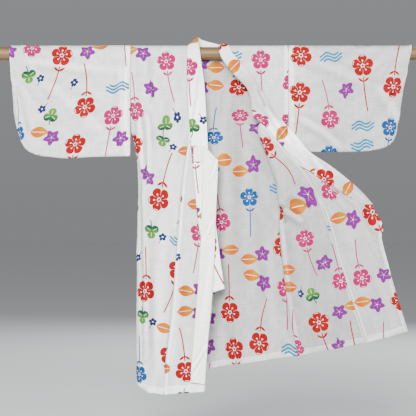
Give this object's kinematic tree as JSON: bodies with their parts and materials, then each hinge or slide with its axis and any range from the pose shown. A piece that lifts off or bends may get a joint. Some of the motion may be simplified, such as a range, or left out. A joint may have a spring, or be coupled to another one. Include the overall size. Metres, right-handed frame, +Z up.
{
  "type": "child's kimono on a rod",
  "caption": "Child's cotton kimono hung on a plain rod through both sleeves, its left front opened out to show the inside.",
  "frame": {"origin": "on the rod's axis, at the middle of the rod, where the rod is held", "axes": "+X along the rod to the right as seen from the front, +Y to the back, +Z up; the garment's front faces -Y"},
  "size_m": [0.9, 0.0734, 0.7141],
  "materials": {
    "printed_cotton": "matt",
    "plain_cotton": "matt",
    "rod_wood": "satin"
  },
  "bodies": {
    "root": {"rod": "rod_wood", "back": "printed_cotton", "front_right": "printed_cotton", "front_left": "printed_cotton", "okumi_right": "printed_cotton", "okumi_left": "printed_cotton", "collar": "printed_cotton", "sleeve_right": "printed_cotton", "sleeve_left": "printed_cotton", "tie": "plain_cotton"}
  },
  "joints": []
}
